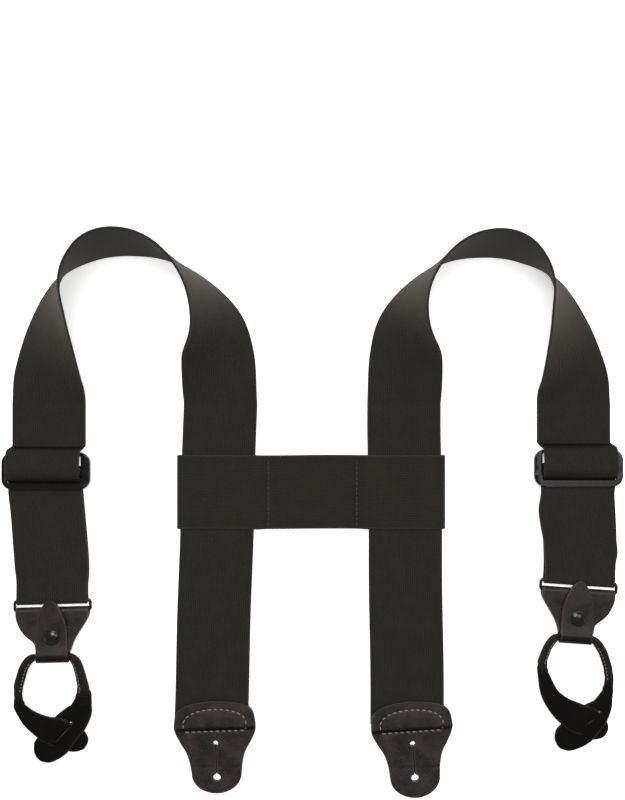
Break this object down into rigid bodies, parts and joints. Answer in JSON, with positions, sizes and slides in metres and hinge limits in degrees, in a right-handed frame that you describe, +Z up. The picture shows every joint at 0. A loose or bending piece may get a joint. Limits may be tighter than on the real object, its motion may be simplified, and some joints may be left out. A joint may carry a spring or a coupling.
{
  "type": "suspenders",
  "caption": "Button-on H-back suspenders in wide dark webbing: sliding crosspiece, front sliders on wire rings, rolled leather button loops and leather back tabs.",
  "frame": {"origin": "middle of the laid-out suspenders, on the surface they lie on", "axes": "+X from the left front leg to the right front leg, +Y towards the shoulder loops, +Z up from the surface"},
  "size_m": [0.4266, 0.3846, 0.0509],
  "materials": {
    "webbing": "matt ribbed webbing",
    "band_webbing": "matt ribbed webbing",
    "leather": "smooth, semi-matt",
    "lining_leather": "matt",
    "thread": "waxed thread",
    "slider_metal": "glossy black",
    "ring_metal": "glossy black",
    "rivet_metal": "glossy black",
    "cord": "matt cotton cord"
  },
  "bodies": {
    "crosspiece": {"crosspiece_band": "band_webbing", "crosspiece_seam_left": "thread", "crosspiece_seam_right": "thread"},
    "left_strap": {"left_shoulder_strap": "webbing", "left_strap_upper_run": "webbing", "left_back_tab_outer": "leather", "left_back_tab_lining": "lining_leather", "left_back_tab_stitching": "thread"},
    "left_slider": {"left_slider_frame": "slider_metal", "left_strap_over_slider": "webbing", "left_strap_end_loop": "webbing", "left_strap_lower_front_run": "webbing", "left_strap_lower_back_run": "webbing"},
    "left_front_fold": {"left_strap_fold": "webbing"},
    "left_ring": {"left_wire_ring": "ring_metal"},
    "left_yoke": {"left_yoke": "leather", "left_keeper_tab": "leather", "left_keeper_tip": "leather", "left_rivet_cap": "rivet_metal", "left_rivet_post": "rivet_metal"},
    "left_button_loop": {"left_button_loop_roll": "leather", "left_button_loop_core": "cord", "left_button_loop_over_end": "leather", "left_button_loop_under_end": "leather", "left_button_loop_thread_left": "thread", "left_button_loop_thread_right": "thread"},
    "right_strap": {"right_shoulder_strap": "webbing", "right_strap_upper_run": "webbing", "right_back_tab_outer": "leather", "right_back_tab_lining": "lining_leather", "right_back_tab_stitching": "thread"},
    "right_slider": {"right_slider_frame": "slider_metal", "right_strap_over_slider": "webbing", "right_strap_end_loop": "webbing", "right_strap_lower_front_run": "webbing", "right_strap_lower_back_run": "webbing"},
    "right_front_fold": {"right_strap_fold": "webbing"},
    "right_ring": {"right_wire_ring": "ring_metal"},
    "right_yoke": {"right_yoke": "leather", "right_keeper_tab": "leather", "right_keeper_tip": "leather", "right_rivet_cap": "rivet_metal", "right_rivet_post": "rivet_metal"},
    "right_button_loop": {"right_button_loop_roll": "leather", "right_button_loop_core": "cord", "right_button_loop_over_end": "leather", "right_button_loop_under_end": "leather", "right_button_loop_thread_left": "thread", "right_button_loop_thread_right": "thread"}
  },
  "joints": [
    {"name": "left_strap_slide", "type": "slide", "parent": "crosspiece", "child": "left_strap", "axis": [0.0299, 0.9996, 0], "range_m": [-0.03, 0.11]},
    {"name": "left_slider_slide", "type": "slide", "parent": "left_strap", "child": "left_slider", "axis": [0, 1, 0], "range_m": [-0.07, 0.023], "deforming": ["left_strap_upper_run"]},
    {"name": "left_fold_slide", "type": "slide", "parent": "left_slider", "child": "left_front_fold", "axis": [0, 1, 0], "range_m": [-0.0115, 0.035], "deforming": ["left_strap_lower_front_run", "left_strap_lower_back_run"]},
    {"name": "left_ring_hinge", "type": "hinge", "parent": "left_front_fold", "child": "left_ring", "pos_m": [-0.1795, -0.0559, 0.00305], "axis": [0.9997, 0.0262, 0], "range_deg": [-40, 40]},
    {"name": "left_yoke_hinge", "type": "hinge", "parent": "left_ring", "child": "left_yoke", "pos_m": [-0.17931, -0.0633, 0.00305], "axis": [0.9997, 0.0262, 0], "range_deg": [-40, 40], "deforming": ["left_keeper_tip"]},
    {"name": "left_button_loop_hinge", "type": "hinge", "parent": "left_yoke", "child": "left_button_loop", "pos_m": [-0.17848, -0.09469, 0.0041], "axis": [0.9997, 0.0262, 0], "range_deg": [-45, 45]},
    {"name": "right_strap_slide", "type": "slide", "parent": "crosspiece", "child": "right_strap", "axis": [-0.0103, 0.9999, 0], "range_m": [-0.03, 0.11]},
    {"name": "right_slider_slide", "type": "slide", "parent": "right_strap", "child": "right_slider", "axis": [0, 1, 0], "range_m": [-0.07, 0.023], "deforming": ["right_strap_upper_run"]},
    {"name": "right_fold_slide", "type": "slide", "parent": "right_slider", "child": "right_front_fold", "axis": [0, 1, 0], "range_m": [-0.0115, 0.035], "deforming": ["right_strap_lower_front_run", "right_strap_lower_back_run"]},
    {"name": "right_ring_hinge", "type": "hinge", "parent": "right_front_fold", "child": "right_ring", "pos_m": [0.1838, -0.0429, 0.00305], "axis": [0.9976, -0.0698, 0], "range_deg": [-40, 40]},
    {"name": "right_yoke_hinge", "type": "hinge", "parent": "right_ring", "child": "right_yoke", "pos_m": [0.18328, -0.05028, 0.00305], "axis": [0.9976, -0.0698, 0], "range_deg": [-40, 40], "deforming": ["right_keeper_tip"]},
    {"name": "right_button_loop_hinge", "type": "hinge", "parent": "right_yoke", "child": "right_button_loop", "pos_m": [0.18109, -0.0816, 0.0041], "axis": [0.9976, -0.0698, 0], "range_deg": [-45, 45]}
  ],
  "couplings": [
    {"joint": "left_fold_slide", "follows": "left_slider_slide", "ratio": -0.5},
    {"joint": "right_fold_slide", "follows": "right_slider_slide", "ratio": -0.5}
  ]
}
